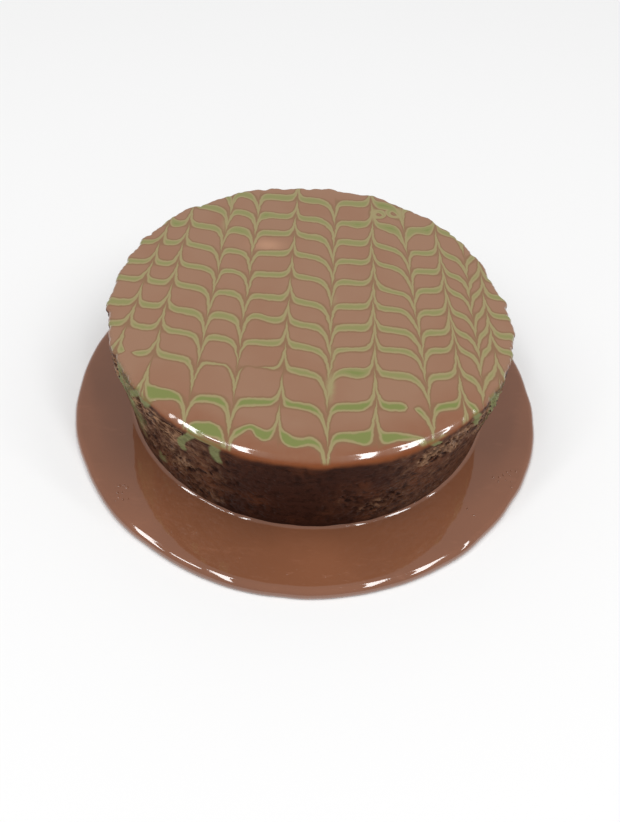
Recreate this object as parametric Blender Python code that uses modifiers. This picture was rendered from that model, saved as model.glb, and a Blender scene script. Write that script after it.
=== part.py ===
"""A round chocolate torte under poured glaze, with the pool that the glaze left round its foot.

Metres, +Z up. The origin is the centre of the cake's flat base, and the cake's front is at -Y.
"""

import math

import bpy
from mathutils import Vector, noise

# The cake
SHOULDER_RADIUS = 0.120
FOOT_RADIUS = 0.1146
CAKE_HEIGHT = 0.074
SHOULDER_ROUND = 0.0040  # radius of the rounded edge between top and side
LIP_PROUD = 0.0012  # how far the glaze at the edge stands out past the side under it
LIP_DEPTH = 0.010  # how far below the top that lip has run out
BASE_CHAMFER = 0.0010
TOP_RINGS = (0.000, 0.035, 0.070, 0.098)
SIDE_ROW_STEP = 0.0034

# The pool of glaze round the foot
POOL_DEPTH = 0.0060
POOL_RADIUS = 0.149
POOL_SHIFT_X = -0.0007
POOL_SHIFT_Y = -0.0077
MENISCUS_RISE = 0.0024  # how far the glaze climbs the cake's side
MENISCUS_REACH = 0.0050
MENISCUS_STEPS = 3
POOL_EDGE_ROUND = 0.0042
POOL_EDGE_TUCK = 0.0012  # how far the edge turns back in at the base
TOUCH_GAP = 0.0003

# Where the cake's edge is flatter or fuller than a circle: angle from +X and spread in degrees,
# and the share of the radius
EDGE_SWELLS = (
    (17.0, 21.0, -0.042),
    (59.0, 6.0, -0.010),
    (72.0, 9.0, 0.016),
    (130.0, 36.0, 0.034),
    (130.0, 3.5, -0.024),
    (139.0, 5.0, 0.012),
)
EDGE_RIPPLE, EDGE_RIPPLE_SIZE = 0.0030, 0.015
RIPPLE_MIDDLE = 0.2  # what the folded noise of the ripple comes to on the whole
TOP_WAVE, TOP_WAVE_SIZE = 0.0004, 0.045

# The crags of crumb and the runs of glaze on the side, and the pool's uneven edge
LUMP_DEPTH, LUMP_SIZE = 0.0022, 0.0095
RUN_DEPTH, RUN_WIDTH, RUN_LENGTH = 0.0015, 0.0075, 0.026
CRAG_FADE = 0.0045  # height over which the crags start, under the lip and above the pool
LOBE_DEPTH, LOBE_SIZE = 0.0012, 0.055
SCALLOP_DEPTH, SCALLOP_SIZE = 0.0005, 0.017

TURN_STEPS = 150
ARC_STEPS = 4
MERGE_DISTANCE = 0.00001

CAKE_COLOUR = (0.150, 0.062, 0.034, 1.0)
POOL_COLOUR = (0.135, 0.054, 0.028, 1.0)
GLAZE_ROUGHNESS = 0.12


def clear_scene():
    for obj in list(bpy.data.objects):
        bpy.data.objects.remove(obj)


def smooth_step(low, high, value):
    share = min(1.0, max(0.0, (value - low) / (high - low)))
    return share * share * (3.0 - 2.0 * share)


def edge_swell(angle):
    """The share by which the cake's edge departs from a circle at an angle."""
    total = 0.0
    for centre, spread, share in EDGE_SWELLS:
        away = (math.degrees(angle) - centre + 180.0) % 360.0 - 180.0
        total += share * math.exp(-((away / spread) ** 2))
    return total


def crag(point):
    """Lumps of crumb and upright runs of glaze on the side, outwards from its plain surface."""
    lumps = noise.noise(point / LUMP_SIZE)
    runs = noise.noise(Vector((point.x / RUN_WIDTH, point.y / RUN_WIDTH, point.z / RUN_LENGTH)))
    return LUMP_DEPTH * lumps + RUN_DEPTH * runs


def side_radius(height):
    """The plain radius of the cake's side: it widens from the foot to a lip that stands a little proud."""
    lip_start = CAKE_HEIGHT - LIP_DEPTH
    taper = smooth_step(POOL_DEPTH, lip_start, height)
    lip = smooth_step(lip_start, CAKE_HEIGHT - SHOULDER_ROUND, height)
    under_lip = SHOULDER_RADIUS - LIP_PROUD
    return FOOT_RADIUS + (under_lip - FOOT_RADIUS) * taper + LIP_PROUD * lip


def round_edge(radius, height, round_radius):
    """The quarter circle from a flat top to an upright side whose outer corner is at radius and height."""
    turns = [math.radians(90.0 * (1.0 - k / ARC_STEPS)) for k in range(ARC_STEPS + 1)]
    centre_r, centre_z = radius - round_radius, height - round_radius
    return [
        (centre_r + round_radius * math.cos(t), centre_z + round_radius * math.sin(t)) for t in turns
    ]


def cake_profile():
    """Radius and height from the top's centre, over the shoulder, down the side and in to the base's centre."""
    side_top = CAKE_HEIGHT - SHOULDER_ROUND
    rows = round((side_top - POOL_DEPTH) / SIDE_ROW_STEP)
    heights = [side_top + (POOL_DEPTH - side_top) * k / rows for k in range(1, rows + 1)]
    top = [(radius, CAKE_HEIGHT) for radius in TOP_RINGS]
    shoulder = round_edge(SHOULDER_RADIUS, CAKE_HEIGHT, SHOULDER_ROUND)
    side = [(side_radius(height), height) for height in heights]
    foot = [(FOOT_RADIUS, BASE_CHAMFER), (FOOT_RADIUS - BASE_CHAMFER, 0.0), (0.0, 0.0)]
    return top + shoulder + side + foot


def pool_profile():
    """Radius and height round the pool's section: out from the cake, over the rounded edge and back beneath."""
    inner = FOOT_RADIUS + TOUCH_GAP
    shares = [k / MENISCUS_STEPS for k in range(MENISCUS_STEPS + 1)]
    meniscus = [
        (inner + MENISCUS_REACH * share, POOL_DEPTH + MENISCUS_RISE * (1.0 - share) ** 2)
        for share in shares
    ]
    edge = round_edge(POOL_RADIUS, POOL_DEPTH, POOL_EDGE_ROUND)
    beneath = [(POOL_RADIUS - POOL_EDGE_TUCK, 0.0), (inner, 0.0)]
    return meniscus + edge + beneath


def turned_mesh(name, profile, closed):
    """A profile in the XZ plane turned once round Z by a Screw modifier."""
    line = bpy.data.meshes.new(name + "_profile")
    edges = [(k, k + 1) for k in range(len(profile) - 1)]
    if closed:
        edges.append((len(profile) - 1, 0))
    line.from_pydata([(radius, 0.0, height) for radius, height in profile], edges, [])
    holder = bpy.data.objects.new(name + "_profile", line)
    bpy.context.scene.collection.objects.link(holder)
    screw = holder.modifiers.new("Turn", "SCREW")
    screw.axis = "Z"
    screw.angle = math.tau
    screw.steps = TURN_STEPS
    screw.render_steps = TURN_STEPS
    screw.use_merge_vertices = True
    screw.merge_threshold = MERGE_DISTANCE
    graph = bpy.context.evaluated_depsgraph_get()
    mesh = bpy.data.meshes.new_from_object(holder.evaluated_get(graph))
    bpy.data.objects.remove(holder)
    mesh.name = name
    return mesh


def uneven_cake(point):
    """Where a point of the plainly turned cake lies once its edge, top and side are as uneven as poured glaze."""
    radius = math.hypot(point.x, point.y)
    if radius < MERGE_DISTANCE or point.z < POOL_DEPTH - MERGE_DISTANCE:
        return point.copy()
    angle = math.atan2(point.y, point.x)
    rise = (point.z - POOL_DEPTH) / (CAKE_HEIGHT - POOL_DEPTH)
    lip_start = CAKE_HEIGHT - LIP_DEPTH
    radius *= 1.0 + edge_swell(angle) * smooth_step(0.0, 1.0, rise)
    near_edge = smooth_step(lip_start, CAKE_HEIGHT - SHOULDER_ROUND, point.z)
    near_edge *= smooth_step(TOP_RINGS[-2], TOP_RINGS[-1], radius)
    radius += EDGE_RIPPLE * near_edge * (abs(noise.noise(point / EDGE_RIPPLE_SIZE)) - RIPPLE_MIDDLE)
    crag_low = POOL_DEPTH + MENISCUS_RISE
    craggy = smooth_step(crag_low, crag_low + CRAG_FADE, point.z)
    craggy *= 1.0 - smooth_step(lip_start - CRAG_FADE, lip_start + CRAG_FADE, point.z)
    radius += craggy * crag(point)
    height = point.z
    if height > CAKE_HEIGHT - MERGE_DISTANCE:
        height += TOP_WAVE * noise.noise(point / TOP_WAVE_SIZE)
    return Vector((radius * math.cos(angle), radius * math.sin(angle), height))


def pool_reach(angle):
    """The pool's outer radius about the cake's axis: a circle shifted to the front, with low lobes and scallops."""
    along = POOL_SHIFT_X * math.cos(angle) + POOL_SHIFT_Y * math.sin(angle)
    across = POOL_SHIFT_Y * math.cos(angle) - POOL_SHIFT_X * math.sin(angle)
    shifted = along + math.sqrt(POOL_RADIUS**2 - across**2)
    rim = Vector((math.cos(angle), math.sin(angle), 0.0)) * POOL_RADIUS
    lobes = LOBE_DEPTH * noise.noise(rim / LOBE_SIZE)
    scallops = SCALLOP_DEPTH * noise.noise(rim / SCALLOP_SIZE)
    return shifted + lobes + scallops


def uneven_pool(point):
    """Where a point of the plainly turned pool lies once its outer edge has its real outline."""
    still = FOOT_RADIUS + TOUCH_GAP + MENISCUS_REACH
    radius = math.hypot(point.x, point.y)
    angle = math.atan2(point.y, point.x)
    share = max(0.0, (radius - still) / (POOL_RADIUS - still))
    radius += share * (pool_reach(angle) - POOL_RADIUS)
    return Vector((radius * math.cos(angle), radius * math.sin(angle), point.z))


def glaze_material(name, colour):
    material = bpy.data.materials.new(name)
    material.use_nodes = True
    shader = material.node_tree.nodes["Principled BSDF"]
    shader.inputs["Base Color"].default_value = colour
    shader.inputs["Roughness"].default_value = GLAZE_ROUGHNESS
    shader.inputs["Metallic"].default_value = 0.0
    return material


def make_piece(collection, name, mesh, uneven, colour):
    """Moves each point of a turned mesh by a rule, and adds the mesh as a named object."""
    for vertex in mesh.vertices:
        vertex.co = uneven(vertex.co)
    mesh.shade_smooth()
    mesh.materials.append(glaze_material(name + "_finish", colour))
    collection.objects.link(bpy.data.objects.new(name, mesh))


def main():
    clear_scene()
    collection = bpy.data.collections.new("glazed_torte")
    bpy.context.scene.collection.children.link(collection)
    cake = turned_mesh("glazed_cake", cake_profile(), closed=False)
    make_piece(collection, "glazed_cake", cake, uneven_cake, CAKE_COLOUR)
    pool = turned_mesh("glaze_pool", pool_profile(), closed=True)
    make_piece(collection, "glaze_pool", pool, uneven_pool, POOL_COLOUR)


main()
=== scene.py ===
"""A round chocolate torte with feathered icing, in the pool of glaze that ran down round its foot.

Laid out as an add-on: property groups hold the sizes and colours, and each operator makes one group
of pieces around the solids of the frame. Everything is in metres, +Z up, with the front at -Y, apart
from the icing's tables, which are in millimetres.
"""

import math

import bpy
import numpy as np
from bpy.props import FloatProperty, FloatVectorProperty, IntProperty, PointerProperty
from mathutils import Matrix, Vector, noise


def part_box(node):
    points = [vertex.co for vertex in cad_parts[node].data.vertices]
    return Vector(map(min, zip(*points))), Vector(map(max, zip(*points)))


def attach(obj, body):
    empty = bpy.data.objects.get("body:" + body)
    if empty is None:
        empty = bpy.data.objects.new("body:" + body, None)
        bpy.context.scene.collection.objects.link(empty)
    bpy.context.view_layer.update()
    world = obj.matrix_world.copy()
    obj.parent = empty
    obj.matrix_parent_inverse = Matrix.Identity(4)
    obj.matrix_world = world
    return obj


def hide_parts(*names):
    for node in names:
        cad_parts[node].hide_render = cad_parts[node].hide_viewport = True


bl_info = {
    "name": "Feathered Chocolate Torte",
    "version": (1, 0, 0),
    "blender": (4, 5, 0),
    "location": "3D View > Sidebar > Torte",
    "description": "Dresses a glazed torte and the pool of glaze round its foot",
    "category": "Add Mesh",
}

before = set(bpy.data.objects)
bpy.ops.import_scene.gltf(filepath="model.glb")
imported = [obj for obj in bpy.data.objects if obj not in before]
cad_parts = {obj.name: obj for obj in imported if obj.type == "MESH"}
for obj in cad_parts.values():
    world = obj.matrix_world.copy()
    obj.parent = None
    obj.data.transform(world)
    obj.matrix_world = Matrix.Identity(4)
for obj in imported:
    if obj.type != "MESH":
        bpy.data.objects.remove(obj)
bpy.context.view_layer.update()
CAKE_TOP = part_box("glazed_cake")[1].z
POOL_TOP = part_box("glaze_pool")[1].z
MILLIMETRES = 1000.0  # in a metre
SOLID_STEPS = 150  # points round the frame's two solids

# The rows of piped icing: how far behind the cake's centre where x is 0, how much further back for each
# millimetre to the left and to the right, and half the width
ICING_ROWS = (
    (105.5, 0.04, -0.01, 3.5), (83, 0.07, -0.055, 3.3), (63.5, 0.047, -0.115, 3),
    (43.5, 0.03, -0.11, 2.8), (21.8, 0.042, -0.06, 2.6), (-1.5, 0.1, -0.005, 2.7),
    (-21, 0.075, 0.02, 2.8), (-39.8, 0.08, 0.07, 2.5), (-59, 0.06, 0.06, 2.6),
    (-83.5, 0.02, 0.085, 3.1), (-105.5, 0.06, 0.11, 2.8),
)

# The skewer's drags across the rows: place at y 0, slant, how far it pulls the icing back, and how wide
# the pull is on the left and on the right
DRAGS = (
    (-103.5, 0.07, 14, 1.5, 1.3), (-86, 0.01, 16, 1.5, 1.3), (-60.8, 0.005, -18, 2.5, 1.2),
    (-40.2, -0.022, -18, 2.5, 1.4), (-15, -0.012, 15, 1.6, 1.2), (10.6, -0.012, -20, 3, 1.4),
    (35.8, -0.01, 19, 1.7, 1.3), (60.8, -0.062, -19, 2.8, 1.4), (81, -0.045, 19, 1.7, 1.4),
    (95, -0.01, -15, 2.6, 1.5), (104, -0.02, 15, 1.8, 1.5),
)
BROAD_SHARE, BROAD_SPREAD = 0.05, 9.0

# Where a row sags or rises on its way: x, y, reach along x and y, and how far it moves along y
SAGS = (
    (49, 15, 12, 9, -5.5), (-32, -18, 6, 7, 3), (20, -57, 8, 7, 2), (60, 66, 14, 9, -3),
    (-5, -107, 6, 7, -4), (-28, -103, 3.5, 8, 4.5), (-20, -104, 3.5, 8, -2.5), (18, -101, 6, 7, 2),
    (38, -106, 6, 7, -3),
)

# Where a row swells or runs out: x, y, reach along x and y, and what it adds to half the width
SWELLINGS = (
    (27, -56.5, 8, 7, 2.6), (-81, -84, 9, 7, 3), (-47, -104, 8, 7, 3.4), (-21, -104, 4, 6, 2.2),
    (-8, -107, 6, 6, 2.2), (33, -104, 7, 7, 3.2), (44, -100, 4, 5, 1.4), (60, -98, 7, 5, -1.4),
    (-50, 65.5, 8, 6, 1), (-97, 68, 7, 7, 2), (-60, 99, 4, 7, 3.6), (-39, 84, 5, 7, 1.8),
    (25, 79, 4, 8, 2), (48, 76, 6, 8, 2.4), (59, 72, 4, 7, 2.4), (73, 80, 3.5, 9, 2.6),
    (42, 104, 9, 7, 1.6), (24, -36, 10, 5, -1.5), (-34, -57, 14, 8, -3.6), (-55, -56, 9, 7, -1.3),
    (55.8, -79.5, 2.6, 5, -4.6), (-105.5, -52, 2.6, 3.6, 3), (-100.5, -50, 3, 8, -4.6),
    (-100, -74, 8, 9, -3.4),
)

# Where icing curls into a small ring: x, y, radius and half the width of its line
CURLS = ((39, 94, 3.4, 1.3), (49.5, 96.5, 4, 1.2))

# Pale smears where the skewer went through the glaze: x, y, reach along x and y, and strength
SMEARS = (
    (12.6, -68, 2, 9, 1.2), (12.5, -44, 1.8, 7, 0.35), (12, 2, 2, 6, 0.35), (-62, 72, 2.4, 9, 0.45),
    (-57, 86, 3, 3, 0.35),
)

# The one patch where the glaze is painted paler: x, y and its reach along x and y
PALE_GLAZE_PATCH = (-32.5, 52.5, 10, 6)

# The cake's edge by its angle from +X in degrees: radius of its rounding, and how far below the top the
# thick glaze reaches, in millimetres
EDGE_FORMS = (
    (-150, 3.4, 4), (-132, 4.2, 3.6), (-122, 4.8, 3.6), (-113, 4, 4), (-104, 4.6, 8), (-95, 4.8, 7),
    (-85, 5.2, 8), (-74, 5.8, 7.5), (-64, 5.8, 8.5), (-56, 5, 5.5), (-42, 4.4, 3.4), (-20, 3.4, 4),
    (60, 3.2, 4.2), (130, 3.2, 4),
)

# Where icing ran down the side: angle from +X in degrees, half width and the depths below the top where
# it starts and ends in millimetres, by how many degrees it slants on its way, and its strength
RUNS = (
    (-148, 4.5, -1, 40, -8, 0.7), (-143, 4, 16, 34, -5, 0.8), (-146, 17, -1, 66, -2, 0.4),
    (-138, 3.2, -1, 20, -7, 0.8), (-133, 5, -1, 9, -5, 0.9), (-134, 4.5, 48, 70, -3, 0.5),
    (-118.6, 2.6, -1, 24, -4.6, 1), (-114, 10, -1, 3.6, 0, 0.9), (-110.6, 3.2, -1, 19, -1.6, 0.8),
    (-57.5, 3.2, -1, 7, 3, 0.8), (-43, 3, -1, 14, 5, 0.7), (-33, 4, -1, 26, 6, 0.9),
    (-27, 4, 10, 36, 6, 0.8), (-30, 13, -1, 40, 2, 0.35), (-15, 4.5, -1, 36, 2, 0.8),
    (4, 3, -1, 16, 2, 0.4), (20, 3.6, -1, 27, -2, 0.9), (52, 3, -1, 14, 1, 0.6),
    (63, 4, -1, 40, 2, 0.8), (88, 3.6, -1, 18, -2, 0.7), (122, 4, -1, 32, 1, 0.9),
    (151, 3, -1, 15, -1, 0.5), (171, 4.2, -1, 44, 3, 0.8),
)

# Where crumb stands out of the glaze on the side: angle and reach in degrees, depth below the top and
# reach in millimetres, and strength
CRUMBLY = (
    (-51, 10, 13, 11, 1), (-68, 7, 49, 9, 0.85), (-30, 12, 17, 15, 1), (-114, 8, 30, 20, 0.35),
    (-118, 8, 57, 8, 0.6), (-130, 14, 38, 16, 0.8), (-78, 3, 40, 9, 0.4), (0, 20, 24, 20, 0.9),
    (50, 24, 18, 14, 1), (80, 16, 46, 14, 0.7), (120, 22, 20, 18, 1), (160, 20, 40, 20, 0.7),
)

# Where the side is drawn into level ridges, given in the same way
RIDGED = (
    (-150, 20, 13, 14, 1), (-129, 11, 11, 12, 1), (-38, 11, 10, 9, 0.9), (30, 16, 10, 9, 0.8),
    (95, 14, 12, 10, 0.8), (170, 12, 10, 8, 0.8),
)

# The lamps, by the glint that each leaves on the cake's edge: its angle from +X and its width round the
# edge in degrees, and how steep the edge is at its upper and lower end
GLINTS = (
    (-118.5, 3.4, 14, 43), (-112, 7, 25, 31), (-102.6, 3.4, 12, 44), (-75, 3.2, 14, 42),
    (-65, 4.6, 14, 42), (-53.8, 2, 18, 42),
)

# Where bubbles and specks lie in the pool: x, y and reach in metres
SPECK_PLACES = ((-0.103, -0.101, 0.006), (0.1235, -0.07, 0.006), (0.098, -0.096, 0.003))

# Where the pool's skin is scuffed, given as the dull patch is
SCUFFED = (8.0, -141.0, 62.0, 11.0)

# The cake's form in metres
CAKE_RADIUS = 0.12
TOP_WAVE, TOP_WAVE_SIZE = 0.0003, 0.045
TOP_RINGS = (0.1, 0.22, 0.34, 0.46, 0.57, 0.67, 0.76, 0.83, 0.89, 0.94, 0.975)
EDGE_RINGS = 15
ROW_CROWDING = 1.2  # above 1, rows down the side lie closer under the edge
BASE_CHAMFER = 0.001
TAPER_END = 0.01  # how far below the top the side has its full radius
SIDE_BLEND, FORM_FADE = 0.0008, 0.003  # heights over which one form gives way to the next
CLIMB_FADE = 0.004  # the same above the pool
CRAGS_EVERYWHERE = 0.22  # the share of the relief where no table calls for any

# The cake's edge: the middle and reach in degrees of its smooth front, how many waves follow the solid
# there and elsewhere, how far out the glaze covers it, and the crinkles by depth, size and phase
FRONT_MIDDLE, FRONT_REACH = -85.0, 50.0
FRONT_WAVES, ALL_WAVES = 9, 75
EDGE_COVER = 0.0006
CRINKLES = ((0.0024, 0.009, 0.0), (0.0013, 0.0045, 2.0))
CRINKLE_MIDDLE = 0.0009
RAGGED_LIP = ((0.9, 0.012, 5.0), (0.8, 0.0045, 2.0))  # the same of the lip's lower end, depths in mm

# Depths below the top between which the marks of the cake's edge start or end, in metres
LIP_START = 0.001
COVER_ENDS = (0.0013, 0.0034)
GLOSS_STARTS, GLOSS_ENDS = (0.00003, 0.0003), (0.0012, 0.002)
GREEN_STARTS = (0.0006, 0.002)
# Round the edge the thin glaze is warmer; in front the top's outer ring is also painted warmer and
# darker, a painted shade where less sheen is mirrored
WARM_DEPTHS, PAINTED_FRONT_SHADE_RADII = (0.0003, 0.003), (0.78, 0.99)  # the second is in shares of the radius
GLOSS_REACH = 6.0  # degrees to each side of a glint
# Round this angle the side is painted darkest: painted shade where it faces the front
PAINTED_SHADE_MIDDLE, PAINTED_SHADE_REACH = -89.0, 25.0  # where the side is evenly dark, in degrees

# How icing runs down: how far it winds in degrees, how fast, and over how many millimetres it starts
RUN_SWAY, RUN_TURNS, RUN_START = 0.8, 0.3, 1.5

# The pool's form in metres, and in shares of its climb and of its edge's radius
POOL_DEPTH = 0.006
POOL_WAVES = 40
POOL_INSET = 0.0004  # how far inside the solid the edge stays
POOL_RIPPLE, POOL_RIPPLE_SIZE = 0.0003, 0.012
INTO_CAKE = 0.0002
CLIMB, CLIMB_SWING, CLIMB_SIZE = 0.65, 0.45, 0.01
CLIMB_RINGS, LEVEL_RINGS, ROUND_RINGS = 12, 22, 16
EDGE_TURN_END = -35.0  # degrees
EDGE_TUCK = 0.3

# The scattered crumbs and bubbles
CRUMB_FLATNESS, BUBBLE_FLATNESS = 0.8, 0.35
SMALLEST_BALL = 0.45  # share of the largest radius
BALL_WOBBLE, BALL_DETAIL = 0.9, 2
MOST_BALLS = 200000.0  # for each square metre
CRAGGY_ENOUGH = 0.5  # where crumbs start to lie
LEVEL_WITHIN = 0.0001  # bubbles lie only where the pool is level

WHITE = (1.0, 1.0, 1.0)

# The icing's bands, by how far inside the edge of its line they start and end, in millimetres
OUTLINE_BAND, RIM_BAND, THICK_BAND = (-1.7, -0.4), (-0.35, 0.45), (1.0, 1.9)
CORE_BAND = (0.75, 2.3)  # in rim widths
LINE_EDGE = 0.35  # what a drag leaves in its place when it narrows a line
ICING_SWINGS = ((30.0, 1.8), (95.0, 1.2))  # noise that makes its breadth swing: scale, and how far
THICK_FRONT = (50.0, 72.0)  # how far in front of the centre the icing lies thicker
THIN_GREEN = 0.55  # how green thin icing is
ICING_WANDER, ICING_FLUTTER = 0.0034, 0.0016  # how far its lines stray, in metres

# Heights of the finest relief, which only the finishes show, in metres
RIPPLE_HEIGHT, EDGE_RIPPLE_HEIGHT = 0.00008, 0.00016
ICING_HEIGHT, ICING_GRAIN_HEIGHT = 0.00005, 0.00025
GRAIN_HEIGHT, MOTTLE_HEIGHT, SKIN_HEIGHT = 0.0002, 0.001, 0.0003
SWELL_HEIGHT, PIT_HEIGHT, SCUFF_HEIGHT = 0.00016, 0.00001, 0.00005

# Noise for the relief and the finishes
NOISE_MIDDLE = 0.5
LEVEL, STREAKED, SCRATCHED = (1.0, 1.0, 8.0), (1.0, 2.6, 1.0), (1.0, 3.4, 1.0)  # how it is squeezed
SHARP_CRESTS, GRAIN_CRESTS = (0.45, 5.0), (0.4, 4.0)  # how high it reaches once folded, how steeply
# Folds are painted as a pale line beside a dark band: partly thin glaze and soaked crumb, partly painted
# highlight and painted shade
FOLD_LINE, FOLD_SHARPNESS = 0.48, 26.0  # the noise at the pale line of a fold, and how thin that is
# By relief height the side is painted paler on crests and darker in hollows: partly thin glaze over
# crests, partly painted highlight and painted shade
TONE_BY_HEIGHT, TONE_BY_CRAGS, PLAIN_TONE = 380.0, 0.35, 0.15  # what makes the side paler


def smooth_step(low, high, value):
    """0 below low, 1 above high and smooth between, for numbers and arrays."""
    share = np.clip((np.asarray(value) - low) / (high - low), 0.0, 1.0)
    return share * share * (3.0 - 2.0 * share)


def turned_away(degrees, centre):
    """The turn from one angle to others, from -180 to 180 degrees."""
    return (degrees - centre + 180.0) % 360.0 - 180.0


def shade(colour, share, lift=0.0):
    """A colour made darker or paler."""
    return [c * share + lift for c in colour]


def between(first, second):
    """The colour half way between two."""
    return [0.5 * (a + b) for a, b in zip(first, second)]


def length(name, description, default, precision=4):
    """A setting in metres."""
    return FloatProperty(
        name=name, description=description, default=default, unit="LENGTH", precision=precision,
    )


def tint(name, description, default):
    """A setting that is a colour."""
    return FloatVectorProperty(
        name=name, description=description, default=default, subtype="COLOR", size=3,
    )


class CakeSizes(bpy.types.PropertyGroup):
    """Sizes of the glazed cake."""

    height: length("Height", "From the base to the plain top", CAKE_TOP - TOP_WAVE)
    foot_radius: length("Foot radius", "Radius of the side where it enters the pool", 0.1146)
    rim_drop: length("Rim drop", "How far below the top the solid's edge is measured", 0.004)
    lip_proud: length("Lip proud", "How far the glaze at the edge stands out past the side", 0.001)
    turn_steps: IntProperty(name="Steps round", description="Points round the cake", default=840, min=24)
    side_rows: IntProperty(name="Side rows", description="Rows down the side", default=80, min=8)
    lump_depth: length("Lump depth", "Depth of the broad lumps of crumb", 0.0016, precision=5)
    chunk_depth: length("Chunk depth", "Depth of the chunks of crumb", 0.0028, precision=5)
    ridge_depth: length("Ridge depth", "Depth of the level ridges under the edge", 0.0024, precision=5)
    grain_depth: length("Grain depth", "Depth of the fine crumb", 0.0006, precision=5)
    seed: FloatProperty(name="Seed", description="Picks the pattern of the crumb", default=4.0)


class PoolSizes(bpy.types.PropertyGroup):
    """Sizes of the pool of glaze."""

    depth: length("Depth", "Depth of the pool away from the cake", POOL_DEPTH)
    rise: length("Rise", "How far the glaze climbs the cake's side", POOL_TOP - POOL_DEPTH)
    reach: length("Reach", "How far from the cake the climb starts", 0.0026)
    edge_round: length("Edge", "Radius of the pool's outer edge", 0.0042)
    turn_steps: IntProperty(name="Steps round", description="Points round the pool", default=720, min=24)


class CrumbSizes(bpy.types.PropertyGroup):
    """Sizes of the loose crumbs on the side and the bubbles in the pool."""

    crumb_radius: length("Crumb radius", "Largest radius of a crumb", 0.0008)
    crumb_gap: length("Crumb gap", "Least distance between two crumbs", 0.0042)
    bubble_radius: length("Bubble radius", "Largest radius of a bubble", 0.001)
    bubble_gap: length("Bubble gap", "Least distance between two bubbles", 0.0026)
    seed: IntProperty(name="Seed", description="Picks where they lie", default=7)


class GlazeFinish(bpy.types.PropertyGroup):
    """Colours and gloss of glaze, icing and crumb."""

    glaze: tint("Glaze", "Milk chocolate glaze on the top", (0.306, 0.165, 0.1))
    lip: tint("Lip", "Thinner, warmer glaze at the edge", (0.23, 0.07, 0.025))
    icing: tint("Icing", "Green icing at the middle of a row", (0.19, 0.215, 0.06))
    icing_rim: tint("Icing rim", "Pale border between icing and glaze", (0.32, 0.262, 0.124))
    # A darker line drawn just outside each row of icing
    outline: tint("Outline", "Glaze pressed up against the icing", (0.225, 0.125, 0.06))
    # The crumb colour also paints the shade where the side faces the front, and darker still the shade in
    # its hollows
    crumb: tint("Crumb", "Soaked crumb in the hollows of the side", (0.042, 0.0135, 0.008))
    # Also the painted highlight on the relief's crests
    crumb_ridge: tint("Crumb ridges", "Thin glaze over the ridges of the side", (0.275, 0.152, 0.086))
    deep: tint("Deep crumb", "Crumb away from the darkest stretch", (0.092, 0.037, 0.02))
    stain: tint("Stain", "Icing that ran down the side", (0.22, 0.23, 0.1))
    pool: tint("Pool", "Set glaze in the pool", (0.25, 0.097, 0.048))
    rim_width: FloatProperty(
        name="Rim width", description="Width of the pale border, in millimetres", default=0.9,
    )
    roughness: FloatProperty(
        name="Roughness", description="Roughness of the set glaze", default=0.1, min=0.0, max=1.0,
    )


class StageSettings(bpy.types.PropertyGroup):
    """Camera, floor and light."""

    camera_place: FloatVectorProperty(
        name="Camera", description="Where the camera stands", subtype="TRANSLATION", size=3,
        default=(0.0023, -0.3503, 0.3753), precision=4,
    )
    camera_pitch: FloatProperty(
        name="Pitch", description="How far below level the camera looks", subtype="ANGLE",
        default=math.radians(48.81),
    )
    camera_roll: FloatProperty(
        name="Roll", description="Turn of the camera about its own view", subtype="ANGLE",
        default=math.radians(4.0),
    )
    lens: FloatProperty(name="Lens", description="Focal length in millimetres", default=33.55)
    floor_radius: length("Floor radius", "Radius of the pale floor", 8.0)
    daylight: FloatProperty(name="Daylight", description="Strength of the light all round", default=0.36)
    lamp_distance: length("Lamp distance", "How far off the lamps hang", 5.0)
    lamp_glow: FloatProperty(name="Lamp glow", description="Brightness of a lamp's face", default=9.1)


class Value:
    """A number that changes over a surface: one node's output, with Python's arithmetic."""

    def __init__(self, nodes, socket):
        self.nodes = nodes
        self.socket = socket

    def __add__(self, other):
        return self.nodes.maths("ADD", self, other)

    def __sub__(self, other):
        return self.nodes.maths("SUBTRACT", self, other)

    def __rsub__(self, other):
        return self.nodes.maths("SUBTRACT", other, self)

    def __mul__(self, other):
        return self.nodes.maths("MULTIPLY", self, other)

    def __pow__(self, power):
        return self.nodes.maths("POWER", self, power)

    def __neg__(self):
        return self.nodes.maths("MULTIPLY", self, -1.0)

    def __abs__(self):
        return self.nodes.maths("ABSOLUTE", self)

    def exp(self):
        return self.nodes.maths("EXPONENT", self)

    def sign(self):
        return self.nodes.maths("SIGN", self)

    def most(self, other):
        return self.nodes.maths("MAXIMUM", self, other)

    def step(self, low, high):
        """0 below low, 1 above high and smooth between."""
        ends = {"Value": self, "From Min": low, "From Max": high}
        return self.nodes.add("ShaderNodeMapRange", {"interpolation_type": "SMOOTHSTEP"}, ends)


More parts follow.
